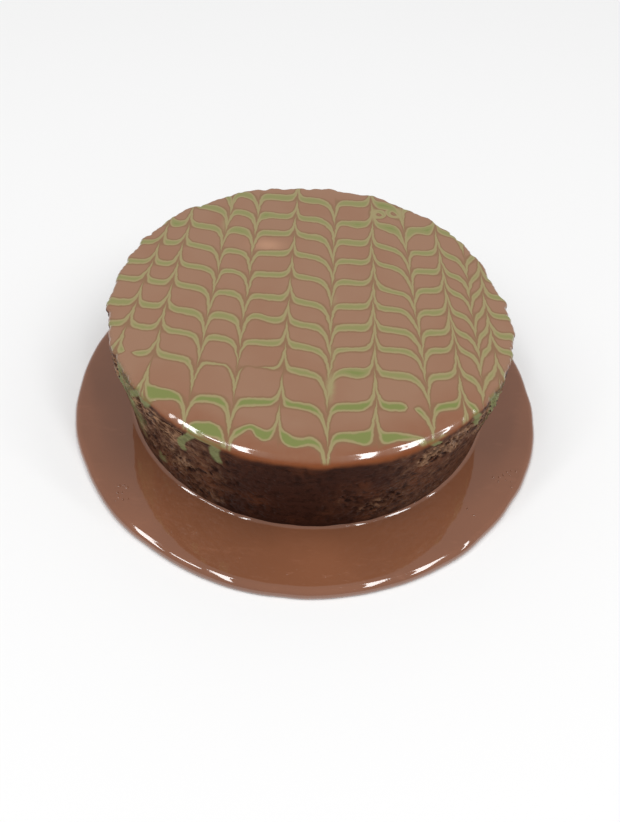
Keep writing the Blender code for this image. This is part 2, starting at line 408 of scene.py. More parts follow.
class Nodes:
    """Adds nodes to one tree, of a material or of a modifier."""

    def __init__(self, tree):
        self.tree = tree

    def add(self, kind, settings=None, sockets=None, output=0):
        """A new node, with its settings made before its sockets. Gives one output."""
        node = self.tree.nodes.new(kind)
        for name, setting in (settings or {}).items():
            setattr(node, name, setting)
        for key, content in (sockets or {}).items():
            if isinstance(content, Value):
                self.tree.links.new(content.socket, node.inputs[key])
            else:
                node.inputs[key].default_value = content
        return Value(self, node.outputs[output]) if node.outputs else node

    def maths(self, operation, *terms):
        return self.add("ShaderNodeMath", {"operation": operation}, dict(enumerate(terms)))

    def vector(self, operation, *terms, output=0):
        return self.add("ShaderNodeVectorMath", {"operation": operation}, dict(enumerate(terms)), output)

    def scaled(self, vector, factor):
        sockets = {0: vector, "Scale": factor}
        return self.add("ShaderNodeVectorMath", {"operation": "SCALE"}, sockets)

    def mix(self, factor, first, second):
        """The colour between first and second by a factor."""
        ends = {0: factor, 6: opaque(first), 7: opaque(second)}
        return self.add("ShaderNodeMix", {"data_type": "RGBA"}, ends, output=2)

    def noise(self, place, scale, detail=2.0, roughness=0.5, output=0):
        """Noise with so many features to a metre: a number from 0 to 1, or with output 1 a vector."""
        sockets = {"Vector": place, "Scale": scale, "Detail": detail, "Roughness": roughness}
        return self.add("ShaderNodeTexNoise", {"noise_dimensions": "3D"}, sockets, output)

    def stray(self, place, scale, detail=2.0):
        """Noise as a vector about zero."""
        return self.vector("SUBTRACT", self.noise(place, scale, detail, output=1), (NOISE_MIDDLE,) * 3)

    def place(self):
        """Where a point of the surface lies, in its object's own coordinates."""
        return self.add("ShaderNodeTexCoord", output=3)

    def bump(self, height, strength):
        """The way that the surface faces, tilted by a height in metres."""
        sockets = {"Height": height, "Distance": 1.0, "Strength": strength}
        return self.add("ShaderNodeBump", sockets=sockets)

    def parts(self, vector):
        """The three numbers of a vector."""
        first = self.add("ShaderNodeSeparateXYZ", sockets={0: vector})
        outputs = first.socket.node.outputs
        return first, Value(self, outputs[1]), Value(self, outputs[2])

    def attribute(self, name):
        return self.add("ShaderNodeAttribute", {"attribute_name": name}, output=2)

    def kept(self, name):
        """A number that a mesh keeps for each point, in a modifier's tree."""
        settings = {"data_type": "FLOAT"}
        return self.add("GeometryNodeInputNamedAttribute", settings, {"Name": name})

    def patch(self, x, y, spot):
        """1 at the middle of an oval spot, given as x, y and reach along both, and 0 well outside it."""
        centre_x, centre_y, reach_x, reach_y = spot
        across = (x - centre_x) * (1.0 / reach_x)
        along = (y - centre_y) * (1.0 / reach_y)
        return (-(across * across + along * along)).exp()


def opaque(colour):
    return colour if isinstance(colour, Value) else (*colour, 1.0)


def new_material(name):
    """A material with an empty tree. Gives it and its builder."""
    material = bpy.data.materials.new(name)
    material.use_nodes = True
    material.node_tree.nodes.clear()
    return material, Nodes(material.node_tree)


def principled(nodes, **sockets):
    """A Principled shader. Names use _ for the spaces of the socket's own name."""
    named = {name.replace("_", " "): content for name, content in sockets.items()}
    return nodes.add("ShaderNodeBsdfPrincipled", sockets=named)


def finish_material(nodes, shader):
    """Ends a material's tree in a shader."""
    nodes.add("ShaderNodeOutputMaterial", sockets={"Surface": shader})


def total(terms):
    """The sum of several values."""
    whole = terms[0]
    for term in terms[1:]:
        whole = whole + term
    return whole


def spots_of(nodes, x, y, table):
    """The sum of a table's oval spots, each with its own strength."""
    return total([nodes.patch(x, y, spot[:4]) * spot[4] for spot in table])


def dragged_rows(nodes, x, y):
    """Where along y the icing now at x, y was piped, and how steeply the pull changes along x."""
    pulls, slopes = [], []
    for place, slant, pull, left, right in DRAGS:
        away = x - (y * slant + place)
        side, distance = away.sign(), abs(away)
        narrowness = side * (0.5 / right - 0.5 / left) + (0.5 / right + 0.5 / left)
        close = (-(distance * narrowness)).exp()
        broad = (distance * (-1.0 / BROAD_SPREAD)).exp()
        pulls.append(close * pull + broad * (pull * BROAD_SHARE))
        steep = close * narrowness * pull + broad * (pull * BROAD_SHARE / BROAD_SPREAD)
        slopes.append(side * steep)
    return y - total(pulls) - spots_of(nodes, x, y, SAGS), total(slopes)


def icing_masks(nodes, place, finish):
    """How far a point lies inside the icing, as masks for the dark line round it, its pale rim and its
    green middle, and the paler patch of the glaze."""
    wander = nodes.scaled(nodes.stray(place, 38.0), ICING_WANDER)
    flutter = nodes.scaled(nodes.stray(place, 230.0), ICING_FLUTTER)
    strayed = nodes.vector("ADD", place, nodes.vector("ADD", wander, flutter))
    x, y, _ = nodes.parts(nodes.scaled(strayed, MILLIMETRES))
    piped, slope = dragged_rows(nodes, x, y)
    left, right = (-x).most(0.0), x.most(0.0)
    inside = None
    for line, left_rise, right_rise, half_width in ICING_ROWS:
        here = half_width - abs(piped - left * left_rise - right * right_rise - line)
        inside = inside.most(here) if inside else here
    for centre_x, centre_y, radius, half_width in CURLS:
        across, along = x - centre_x, y - centre_y
        away = nodes.maths("SQRT", across * across + along * along)
        inside = inside.most(half_width - abs(away - radius))
    swells = spots_of(nodes, x, y, SWELLINGS)
    uneven = total([(nodes.noise(place, scale) - NOISE_MIDDLE) * swing for scale, swing in ICING_SWINGS])
    narrowing = (slope * slope + 1.0) ** -0.5
    inside = (inside + swells + uneven - LINE_EDGE) * narrowing + LINE_EDGE
    line = inside.step(*OUTLINE_BAND)
    rim = inside.step(*RIM_BAND).most(spots_of(nodes, x, y, SMEARS))
    thick = (inside * 0.35 + (-y).step(*THICK_FRONT)).step(*THICK_BAND)
    start, end = (finish.rim_width * share for share in CORE_BAND)
    core = inside.step(start, end) * (thick * (1.0 - THIN_GREEN) + THIN_GREEN)
    return line, rim, core, nodes.patch(x, y, PALE_GLAZE_PATCH)


def glaze_shader(nodes, place, finish, green):
    """Glossy milk chocolate glaze with the feathered icing in it."""
    down, gloss, run = (nodes.attribute(name) for name in ("shoulder", "gloss", "icing_run"))
    line, rim, core, pale_glaze_patch = icing_masks(nodes, place, finish)
    clouds = nodes.noise(place, 24.0, 3.0).step(0.4, 0.7)
    glaze = nodes.mix(clouds * 0.35, finish.glaze, between(finish.glaze, finish.lip))
    glaze = nodes.mix(pale_glaze_patch, glaze, shade(finish.glaze, 1.4))
    # Towards the lip colour at the edge: the thin glaze's own colour, and in front painted shade
    glaze = nodes.mix(down * (nodes.noise(place, 130.0, 3.0) + 0.5), glaze, finish.lip)
    # A darker line just outside each row of icing
    glaze = nodes.mix(line * run * 0.8, glaze, finish.outline)
    iced = nodes.mix(rim * run, glaze, finish.icing_rim)
    iced = nodes.mix(core * run, iced, finish.icing)
    iced = nodes.mix(green * 0.8, iced, finish.icing)
    ripples = nodes.noise(place, 60.0) * (down * EDGE_RIPPLE_HEIGHT + RIPPLE_HEIGHT)
    grain = nodes.noise(place, 260.0) * core * down * ICING_GRAIN_HEIGHT
    bump = nodes.bump(ripples + rim * run * ICING_HEIGHT + grain, 0.6)
    rough = nodes.noise(place, 40.0, 4.0, 0.6) * 0.05 + core * run * 0.05 + (finish.roughness - 0.025)
    return principled(nodes, Base_Color=iced, Roughness=rough, Normal=bump, IOR=1.5,
                      Coat_Weight=gloss * 0.8 + 0.2, Coat_Roughness=0.05, Coat_IOR=1.8)


def crumb_shader(nodes, place, finish, green):
    """Dark soaked crumb, with thin pale glaze on its ridges and the icing that ran over it. Painted shade
    makes the side darkest where it faces the front and darker in its hollows, and painted highlights lie
    on its crests and folds.
    """
    crag, craggy, lip = (nodes.attribute(name) for name in ("crag", "craggy", "lip"))
    stains, mottles = nodes.noise(place, 95.0, 3.0), nodes.noise(place, 230.0, 3.0)
    high = nodes.parts(place)[2].step(0.022, 0.052)
    ridge = nodes.mix(high, between(finish.deep, finish.crumb_ridge), finish.crumb_ridge)
    beyond_painted_shade = (nodes.attribute("beyond_painted_shade") + nodes.noise(place, 24.0, 3.0) * 1.2 - 0.6).step(0.1, 0.9)
    # Painted shade: where the side faces the front it keeps the darkest crumb colour, elsewhere the deep
    # crumb colour
    soft = nodes.mix(beyond_painted_shade, finish.crumb, finish.deep)
    soft = nodes.mix(nodes.noise(place, 45.0, 3.0).step(0.45, 0.75) * 0.25, soft, finish.lip)
    soft = nodes.mix(mottles.step(0.52, 0.66) * beyond_painted_shade * 0.35, soft, ridge)
    # Crests take the ridge colour: partly thin glaze, partly painted highlight
    crumb = nodes.mix((crag + stains * 0.6 - 0.3).step(0.48, 0.92), soft, ridge)
    # Painted shade: a darker copy of the crumb colour for hollows and low mottles
    painted_hollow_shade = shade(finish.crumb, 0.6)
    crumb = nodes.mix((crag - craggy * 0.35).step(-0.05, 0.2), painted_hollow_shade, crumb)
    crumb = nodes.mix((NOISE_MIDDLE - mottles).step(0.03, 0.12) * 0.6, crumb, painted_hollow_shade)
    wrinkled = nodes.attribute("ridged") * craggy
    folds = nodes.noise(nodes.vector("MULTIPLY", place, LEVEL), 48.0)
    # Painted shade in a dark band beside each fold, and a painted highlight along its pale line, partly
    # thin glaze
    crumb = nodes.mix(folds.step(0.53, 0.62) * wrinkled * 0.8, crumb, finish.crumb)
    lines = (1.0 - abs(folds - FOLD_LINE) * FOLD_SHARPNESS).most(0.0)
    crumb = nodes.mix(lines * wrinkled, crumb, shade(finish.crumb_ridge, 1.4))
    crumb = nodes.mix((green + stains * 0.8 - 0.4).step(0.15, 0.75) * 0.9, crumb, finish.stain)
    crumb = nodes.mix((lip + stains * 0.7 - 0.35).step(0.05, 0.95), crumb, finish.lip)
    grain = nodes.noise(place, 700.0, 3.0, 0.6) * GRAIN_HEIGHT + mottles * MOTTLE_HEIGHT
    wet = stains.step(0.54, 0.68) * (crag - 0.35)
    return principled(nodes, Base_Color=crumb, Roughness=0.45, Normal=nodes.bump(grain, 0.6), IOR=1.4,
                      Specular_IOR_Level=0.07, Coat_Weight=wet, Coat_Roughness=0.15, Coat_IOR=1.4)


def cake_material(finish):
    """Glaze with feathered icing on top, giving way to dark, glossy crumb down the side."""
    material, nodes = new_material("torte_glaze")
    place, green = nodes.place(), nodes.attribute("green")
    glazed = glaze_shader(nodes, place, finish, green)
    soaked = crumb_shader(nodes, place, finish, green)
    ends = {"Fac": nodes.attribute("cover"), 1: soaked, 2: glazed}
    finish_material(nodes, nodes.add("ShaderNodeMixShader", sockets=ends))
    return material


def crumb_material(finish):
    """Single crumbs under thin glaze."""
    material, nodes = new_material("side_crumb")
    place = nodes.place()
    pale = nodes.noise(place, 220.0).step(0.45, 0.8) * 0.7
    colour = nodes.mix(pale, finish.crumb, finish.crumb_ridge)
    bump = nodes.bump(nodes.noise(place, 1400.0) * SKIN_HEIGHT, 0.5)
    shader = principled(nodes, Base_Color=colour, Roughness=pale * 0.1 + 0.22, Normal=bump, IOR=1.4,
                        Specular_IOR_Level=0.3)
    finish_material(nodes, shader)
    return material


def pool_material(finish, name="pool_glaze"):
    """Smooth set glaze, a little streaked, with fine scuffs and pits."""
    material, nodes = new_material(name)
    place = nodes.place()
    x, y, _ = nodes.parts(nodes.scaled(place, MILLIMETRES))
    streaks = nodes.noise(nodes.vector("MULTIPLY", place, STREAKED), 60.0, 4.0, 0.6)
    scratches = nodes.noise(nodes.vector("MULTIPLY", place, SCRATCHED), 150.0, 3.0, 0.7)
    scuffs = scratches.step(0.6, 0.7) * nodes.patch(x, y, SCUFFED)
    clouds = nodes.noise(place, 14.0, 4.0).step(0.3, 0.7)
    colour = nodes.mix(clouds, shade(finish.pool, 0.85), finish.pool)
    paler = shade(finish.pool, 1.15, 0.01)
    colour = nodes.mix(streaks.step(0.55, 0.8) * 0.4 + scuffs * 0.6, colour, paler)
    height = nodes.noise(place, 26.0) * SWELL_HEIGHT + nodes.noise(place, 700.0) * PIT_HEIGHT
    bump = nodes.bump(height + scuffs * SCUFF_HEIGHT, 0.7)
    rough = streaks.step(0.5, 0.8) * 0.05 + scuffs * 0.12 + 0.04
    shader = principled(nodes, Base_Color=colour, Roughness=rough, Normal=bump, IOR=1.6,
                        Coat_Weight=1.0, Coat_Roughness=0.03, Coat_IOR=1.5)
    finish_material(nodes, shader)
    return material


def rim_of(node, height, reach=0.0004):
    """The outer radius of a frame solid at a height, at even steps round from +X."""
    points = np.array([v.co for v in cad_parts[node].data.vertices])
    x, y, _ = points[np.abs(points[:, 2] - height) < reach].T
    places = np.round(np.arctan2(y, x) / math.tau * SOLID_STEPS).astype(int) % SOLID_STEPS
    radii = np.zeros(SOLID_STEPS)
    np.maximum.at(radii, places, np.hypot(x, y))
    return radii


def smooth_rim(angles, radii, most):
    """Radii at angles, by the longest waves through radii at even steps round from +X."""
    waves = np.fft.rfft(radii)[:most] / len(radii)
    turns = np.outer(angles, np.arange(len(waves)))
    return 2.0 * (np.exp(1j * turns) @ waves).real - waves[0].real


def noise_round(angles, size, phase=0.0):
    """Smooth noise round the cake's edge, about -1 to 1, with features of a size in metres."""
    radius = CAKE_RADIUS / size
    points = [Vector((math.cos(a) * radius, math.sin(a) * radius, phase)) for a in angles]
    return np.array([noise.noise(p) for p in points])


def ring_mesh(name, rings, closed):
    """A mesh of quads between rings of points from top to bottom. Open ends get a pole on the axis."""
    count, steps, _ = rings.shape
    points = rings.reshape(-1, 3)
    here = np.arange(steps)
    after = (here + 1) % steps
    rows = range(count if closed else count - 1)
    faces = []
    for row in rows:
        upper, lower = row * steps, ((row + 1) % count) * steps
        faces += np.stack([upper + here, lower + here, lower + after, upper + after], 1).tolist()
    points = points.tolist()
    if not closed:
        top, base = len(points), len(points) + 1
        points += [[0.0, 0.0, rings[0, :, 2].mean()], [0.0, 0.0, rings[-1, :, 2].mean()]]
        last = (count - 1) * steps
        faces += np.stack([np.full(steps, top), here, after], 1).tolist()
        faces += np.stack([last + after, last + here, np.full(steps, base)], 1).tolist()
    mesh = bpy.data.meshes.new(name)
    mesh.from_pydata(points, [], faces)
    mesh.shade_smooth()
    return mesh


def store(mesh, name, values, shape, poles=0.0):
    """Keeps one number for each point of a mesh of rings. The poles, which come last, take their own."""
    padded = np.full(len(mesh.vertices), poles, np.float32)
    spread = np.broadcast_to(values, shape)
    padded[: spread.size] = spread.ravel()
    mesh.attributes.new(name, "FLOAT", "POINT").data.foreach_set("value", padded)


def edge_forms(degrees):
    """The rounding of the cake's edge and how far down the thick glaze reaches, at each angle."""
    places, roundings, lips = np.array(EDGE_FORMS).T
    rounding = np.interp(degrees, places, roundings, period=360.0)
    lip = np.interp(degrees, places, lips, period=360.0)
    angles = np.radians(degrees)
    ragged = sum(depth * noise_round(angles, size, phase) for depth, size, phase in RAGGED_LIP)
    return rounding / MILLIMETRES, (lip + ragged) / MILLIMETRES


def stained(degrees, depth):
    """How much icing ran down over each point of the side."""
    below = depth * MILLIMETRES
    green = np.zeros_like(depth)
    for centre, half_width, start, end, slant, strength in RUNS:
        way = (below - start) / (end - start)
        winding = RUN_SWAY * np.sin(below * RUN_TURNS + centre)
        away = turned_away(degrees, centre + slant * way + winding)
        across = np.radians(away) * CAKE_RADIUS * MILLIMETRES / half_width
        run = smooth_step(start, start + RUN_START, below) * (1.0 - smooth_step(end * 0.75, end, below))
        green = np.maximum(green, strength * run * np.exp(-(across**4)))
    return green


def patches(degrees, depth, spots):
    """How much the spots of a table cover each point of the side, from 0 to 1."""
    whole = np.zeros_like(depth)
    for centre, reach, middle, down, strength in spots:
        across = turned_away(degrees, centre) / reach
        along = (depth * MILLIMETRES - middle) / down
        whole = np.maximum(whole, strength * np.exp(-((across * across + along * along) ** 2)))
    return whole


def edge_radius(sizes, angles, front):
    """The radius of the cake's edge at each angle, crinkled everywhere but in front."""
    solid = rim_of("glazed_cake", sizes.height - sizes.rim_drop)
    smooth, full = smooth_rim(angles, solid, FRONT_WAVES), smooth_rim(angles, solid, ALL_WAVES)
    crinkle = sum(np.abs(noise_round(angles, size, phase)) * depth for depth, size, phase in CRINKLES)
    edge = EDGE_COVER + smooth * front + full * (1.0 - front)
    return edge + (crinkle - CRINKLE_MIDDLE) * (1.0 - front)


def cake_rings(sizes, pool, edge, rounding):
    """Radius and height of the rings of points, from the top's middle to the base's."""
    inner, side_top = edge - rounding, sizes.height - rounding
    rings = [(inner * share, sizes.height) for share in TOP_RINGS]
    for turn in np.radians(np.linspace(90.0, 0.0, EDGE_RINGS)):
        rings.append((inner + rounding * math.cos(turn), side_top + rounding * math.sin(turn)))
    for share in np.linspace(0.0, 1.0, sizes.side_rows + 1)[1:]:
        rings.append((edge, side_top + (pool.depth - side_top) * share**ROW_CROWDING))
    foot = sizes.foot_radius
    base = foot - BASE_CHAMFER
    rings += [(foot, pool.depth * 0.5), (foot, BASE_CHAMFER), (base, 0.0), (foot * 0.5, 0.0)]
    return [np.array([np.broadcast_to(part, edge.shape) for part in parts]) for parts in zip(*rings)]


def side_radius(sizes, pool, edge, rounding, lip_end, radius, level):
    """The radius of each point once the side tapers to the foot below a lip that stands proud."""
    depth = sizes.height - level
    taper = smooth_step(pool.depth, sizes.height - TAPER_END, level)
    proud = sizes.lip_proud * (1.0 - smooth_step(lip_end, lip_end + FORM_FADE, depth))
    side = sizes.foot_radius + (edge - sizes.lip_proud - sizes.foot_radius) * taper + proud
    blend = smooth_step(rounding, rounding + SIDE_BLEND, depth) * (level > pool.depth * 0.6)
    return radius + (side - radius) * blend


def cake_marks(pool, degrees, front, depth, level, outwards, lip_end):
    """What the cake keeps for its relief and finish: the values at each point, and at both poles."""
    lip = 1.0 - smooth_step(LIP_START, lip_end, depth)
    gloss = smooth_step(*GLOSS_STARTS, depth) * (1.0 - smooth_step(*GLOSS_ENDS, depth))
    glints = [np.exp(-((turned_away(degrees, glint[0]) / GLOSS_REACH) ** 4)) for glint in GLINTS]
    # Warmer glaze down the edge all round, and in front a painted shade on the top's outer ring
    warm_glaze_and_painted_shade = 0.6 * smooth_step(*PAINTED_FRONT_SHADE_RADII, outwards) * front + 0.4 * smooth_step(*WARM_DEPTHS, depth)
    climb_end = pool.depth + pool.rise
    above_pool = smooth_step(pool.depth + pool.rise * 0.6, climb_end + CLIMB_FADE, level)
    rugged = smooth_step(lip_end, lip_end + FORM_FADE, depth) * above_pool
    crumbly, ridged = patches(degrees, depth, CRUMBLY), patches(degrees, depth, RIDGED)
    called_for = CRAGS_EVERYWHERE + (1.0 - CRAGS_EVERYWHERE) * np.maximum(crumbly, ridged)
    return {
        "lip": (lip, 1.0),
        "cover": ((1.0 - smooth_step(*COVER_ENDS, depth)) * lip, 1.0),
        "gloss": (gloss * np.max(glints, axis=0), 0.0),
        "green": (stained(degrees, depth) * smooth_step(*GREEN_STARTS, depth), 0.0),
        "icing_run": (1.0 - smooth_step(lip_end * 0.5, lip_end, depth), 1.0),
        "shoulder": (np.clip(warm_glaze_and_painted_shade, 0.0, 1.0), 0.0),
        "craggy": (rugged * called_for, 0.0),
        "ridged": (ridged / np.maximum(0.01, crumbly + ridged), 0.0),
        # 0 where the side is painted darkest as painted shade facing the front, 1 away from there
        "beyond_painted_shade": (1.0 - np.exp(-((turned_away(degrees, PAINTED_SHADE_MIDDLE) / PAINTED_SHADE_REACH) ** 4)), 0.0),
    }


def cake_mesh(sizes, pool):
    """The cake's smooth form, with what the crumb relief and the colours need kept at each point."""
    angles = np.linspace(-math.pi, math.pi, sizes.turn_steps, endpoint=False)
    degrees = np.degrees(angles)
    front = np.exp(-((turned_away(degrees, FRONT_MIDDLE) / FRONT_REACH) ** 8))
    edge = edge_radius(sizes, angles, front)
    rounding, lip_end = edge_forms(degrees)
    plain, level = cake_rings(sizes, pool, edge, rounding)
    radius = side_radius(sizes, pool, edge, rounding, lip_end, plain, level)
    points = np.stack([radius * np.cos(angles), radius * np.sin(angles), level], -1)
    top = points[: len(TOP_RINGS)]
    wave = [[noise.noise(Vector(point) / TOP_WAVE_SIZE) for point in ring] for ring in top]
    top[..., 2] += TOP_WAVE * np.array(wave)
    mesh = ring_mesh("torte", points, closed=False)
    depth = sizes.height - level
    marks = cake_marks(pool, degrees, front, depth, level, plain / edge, lip_end)
    for name, (values, pole) in marks.items():
        store(mesh, name, values, radius.shape, pole)
    return mesh


def modifier_tree(name, inputs):
    """A modifier's tree with a mesh in and out and number inputs, its builder and its inputs' sockets."""
    tree = bpy.data.node_groups.new(name, "GeometryNodeTree")
    tree.interface.new_socket("Mesh", in_out="INPUT", socket_type="NodeSocketGeometry")
    for label, default in inputs.items():
        kind = "NodeSocketInt" if type(default) is int else "NodeSocketFloat"
        tree.interface.new_socket(label, in_out="INPUT", socket_type=kind).default_value = default
    tree.interface.new_socket("Mesh", in_out="OUTPUT", socket_type="NodeSocketGeometry")
    nodes = Nodes(tree)
    first = nodes.add("NodeGroupInput")
    return tree, nodes, {s.name: Value(nodes, s) for s in first.socket.node.outputs if s.name}


def finish_tree(nodes, geometry, material):
    """Ends a modifier's tree in plain geometry with a material."""
    real = nodes.add("GeometryNodeRealizeInstances", sockets={"Geometry": geometry})
    dressed = nodes.add("GeometryNodeSetMaterial", sockets={"Geometry": real, "Material": material})
    nodes.add("NodeGroupOutput", sockets={"Mesh": dressed})


def add_object(name, data):
    piece = bpy.data.objects.new(name, data)
    bpy.context.scene.collection.objects.link(piece)
    return piece


def applied(name, mesh, tree, material, settings):
    """The plain mesh object that a node tree makes of a mesh with these inputs."""
    holder = add_object(name + "_source", mesh)
    modifier = holder.modifiers.new("Shape", "NODES")
    modifier.node_group = tree
    identifiers = {s.name: s.identifier for s in tree.interface.items_tree if s.in_out == "INPUT"}
    for label, setting in settings.items():
        modifier[identifiers[label]] = setting
    graph = bpy.context.evaluated_depsgraph_get()
    result = bpy.data.meshes.new_from_object(holder.evaluated_get(graph))
    bpy.data.objects.remove(holder)
    result.name = name
    if not result.materials:
        result.materials.append(material)
    return add_object(name, result)


def crests(noise_there, reach, steepness):
    """Noise folded at its middle into sharp crests."""
    return reach - abs(noise_there - NOISE_MIDDLE) * steepness


def relief_tree(material):
    """Pushes a mesh in and out by lumps, chunks, level ridges and fine grain of crumb."""
    depths = ("Lump depth", "Chunk depth", "Ridge depth", "Grain depth")
    inputs = dict.fromkeys((*depths, "Seed"), 0.0)
    tree, nodes, given = modifier_tree("crumb_relief", inputs)
    here = nodes.add("GeometryNodeInputPosition")
    moved = nodes.vector("ADD", here, nodes.add("ShaderNodeCombineXYZ", sockets={2: given["Seed"]}))
    craggy, ridged = nodes.kept("craggy"), nodes.kept("ridged")
    lumps = nodes.noise(moved, 70.0, 1.0) * 2.0 - 1.0
    chunks = crests(nodes.noise(moved, 190.0), *SHARP_CRESTS)
    ridges = crests(nodes.noise(nodes.vector("MULTIPLY", moved, LEVEL), 34.0), *SHARP_CRESTS)
    grain = crests(nodes.noise(moved, 330.0, 2.0, 0.6), *GRAIN_CRESTS)
    forms = (lumps, chunks * (1.0 - ridged), ridges * ridged, grain)
    height = total([form * given[label] for form, label in zip(forms, depths)])
    outwards = nodes.vector("NORMALIZE", nodes.vector("MULTIPLY", here, (1.0, 1.0, 0.0)))
    offset = nodes.scaled(outwards, height * craggy)
    pushed = nodes.add("GeometryNodeSetPosition", sockets={"Geometry": given["Mesh"], "Offset": offset})
    # The tone kept as crag: paler on crests, darker in hollows, partly thin glaze and partly painted
    # highlight and painted shade
    tone = height * craggy * TONE_BY_HEIGHT + craggy * TONE_BY_CRAGS + PLAIN_TONE
    kept = nodes.add("GeometryNodeStoreNamedAttribute", {"data_type": "FLOAT", "domain": "POINT"},
                     {"Geometry": pushed, "Name": "crag", "Value": tone})
    finish_tree(nodes, kept, material)
    return tree


def scatter_tree(name, material, flatness):
    """Spreads small uneven balls over a mesh, as likely as its attribute "scatter" says."""
    tree, nodes, given = modifier_tree(name, {"Radius": 0.0, "Gap": 0.0, "Seed": 0})
    spread = nodes.add(
        "GeometryNodeDistributePointsOnFaces", {"distribute_method": "POISSON"},
        {"Mesh": given["Mesh"], "Distance Min": given["Gap"], "Density Max": MOST_BALLS,
         "Density Factor": nodes.kept("scatter"), "Seed": given["Seed"]},
    )
    facing = Value(nodes, spread.socket.node.outputs["Rotation"])
    ball = nodes.add("GeometryNodeMeshIcoSphere", sockets={"Radius": 1.0, "Subdivisions": BALL_DETAIL})
    smooth = nodes.add("GeometryNodeSetShadeSmooth", sockets={"Geometry": ball})
    smallest = (SMALLEST_BALL, SMALLEST_BALL, SMALLEST_BALL * flatness)
    sizes = nodes.add("FunctionNodeRandomValue", {"data_type": "FLOAT_VECTOR"},
                      {0: smallest, 1: (1.0, 1.0, flatness), "Seed": given["Seed"]})
    scale = nodes.scaled(sizes, given["Radius"])
    placed = nodes.add("GeometryNodeInstanceOnPoints", sockets={
        "Points": spread, "Instance": smooth, "Rotation": facing, "Scale": scale})
    real = nodes.add("GeometryNodeRealizeInstances", sockets={"Geometry": placed})
    wobble = nodes.stray(nodes.add("GeometryNodeInputPosition"), 900.0, 1.0)
    offset = nodes.scaled(wobble, given["Radius"] * BALL_WOBBLE)
    uneven = nodes.add("GeometryNodeSetPosition", sockets={"Geometry": real, "Offset": offset})
    finish_tree(nodes, uneven, material)
    return tree


def pool_mesh(pool, foot_radius):
    """The pool's ring: up the cake's side, level, over a round outer edge and back beneath."""
    angles = np.linspace(-math.pi, math.pi, pool.turn_steps, endpoint=False)
    rim = smooth_rim(angles, rim_of("glaze_pool", pool.depth - pool.edge_round), POOL_WAVES)
    rim = rim - POOL_INSET + POOL_RIPPLE * noise_round(angles, POOL_RIPPLE_SIZE)
    inner = foot_radius - INTO_CAKE
    climb = pool.rise * (CLIMB + CLIMB_SWING * noise_round(angles, CLIMB_SIZE))
    rings = []
    for share in np.linspace(0.0, 1.0, CLIMB_RINGS):
        rings.append((inner + pool.reach * share, pool.depth + climb * (1.0 - share) ** 3))
    start, end = inner + pool.reach, rim - pool.edge_round
    for share in np.linspace(0.0, 1.0, LEVEL_RINGS)[1:-1]:
        rings.append((start + (end - start) * share, pool.depth))
    for turn in np.radians(np.linspace(90.0, EDGE_TURN_END, ROUND_RINGS)):
        out, up = math.cos(turn) - 1.0, math.sin(turn) - 1.0
        rings.append((rim + pool.edge_round * out, max(0.0, pool.depth + pool.edge_round * up)))
    rings += [(rim - pool.edge_round * EDGE_TUCK, 0.0), (inner, 0.0)]
    points = [np.stack([r * np.cos(angles), r * np.sin(angles), np.broadcast_to(z, angles.shape)], -1)
              for r, z in rings]
    return ring_mesh("pool", np.array(points), closed=True)


def scattered(name, mesh, likely, material, flatness, radius, gap, seed):
    """An object of small balls, strewn over a mesh by how likely one is at each of its points."""
    surface = mesh.copy()
    store(surface, "scatter", likely, likely.shape)
    tree = scatter_tree(name + "_scatter", material, flatness)
    return applied(name, surface, tree, material, {"Radius": radius, "Gap": gap, "Seed": seed})


class TORTE_OT_cake(bpy.types.Operator):
    """Make the glazed cake with its icing and craggy side"""

    bl_idname = "torte.cake"
    bl_label = "Glazed cake"

    def execute(self, context):
        sizes, pool = context.scene.torte_cake, context.scene.torte_pool
        material = cake_material(context.scene.torte_finish)
        settings = {
            "Lump depth": sizes.lump_depth, "Chunk depth": sizes.chunk_depth,
            "Ridge depth": sizes.ridge_depth, "Grain depth": sizes.grain_depth, "Seed": sizes.seed,
        }
        cake = applied("torte", cake_mesh(sizes, pool), relief_tree(material), material, settings)
        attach(cake, "root")
        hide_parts("glazed_cake")
        return {"FINISHED"}


class TORTE_OT_pool(bpy.types.Operator):
    """Make the pool of glaze round the foot"""

    bl_idname = "torte.pool"
    bl_label = "Pool of glaze"

    def execute(self, context):
        scene = context.scene
        pool = add_object("pool", pool_mesh(scene.torte_pool, scene.torte_cake.foot_radius))
        pool.data.materials.append(pool_material(scene.torte_finish))
        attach(pool, "root")
        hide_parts("glaze_pool")
        return {"FINISHED"}


class TORTE_OT_crumbs(bpy.types.Operator):
    """Scatter crumbs over the craggy side"""

    bl_idname = "torte.crumbs"
    bl_label = "Crumbs"

    def execute(self, context):
        sizes = context.scene.torte_crumbs
        cake = bpy.data.objects["torte"].data
        craggy = np.zeros(len(cake.vertices), np.float32)
        cake.attributes["craggy"].data.foreach_get("value", craggy)
        material = crumb_material(context.scene.torte_finish)
        crumbs = scattered("crumbs", cake, np.maximum(0.0, craggy - CRAGGY_ENOUGH), material,
                           CRUMB_FLATNESS, sizes.crumb_radius, sizes.crumb_gap, sizes.seed)
        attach(crumbs, "root")
        return {"FINISHED"}


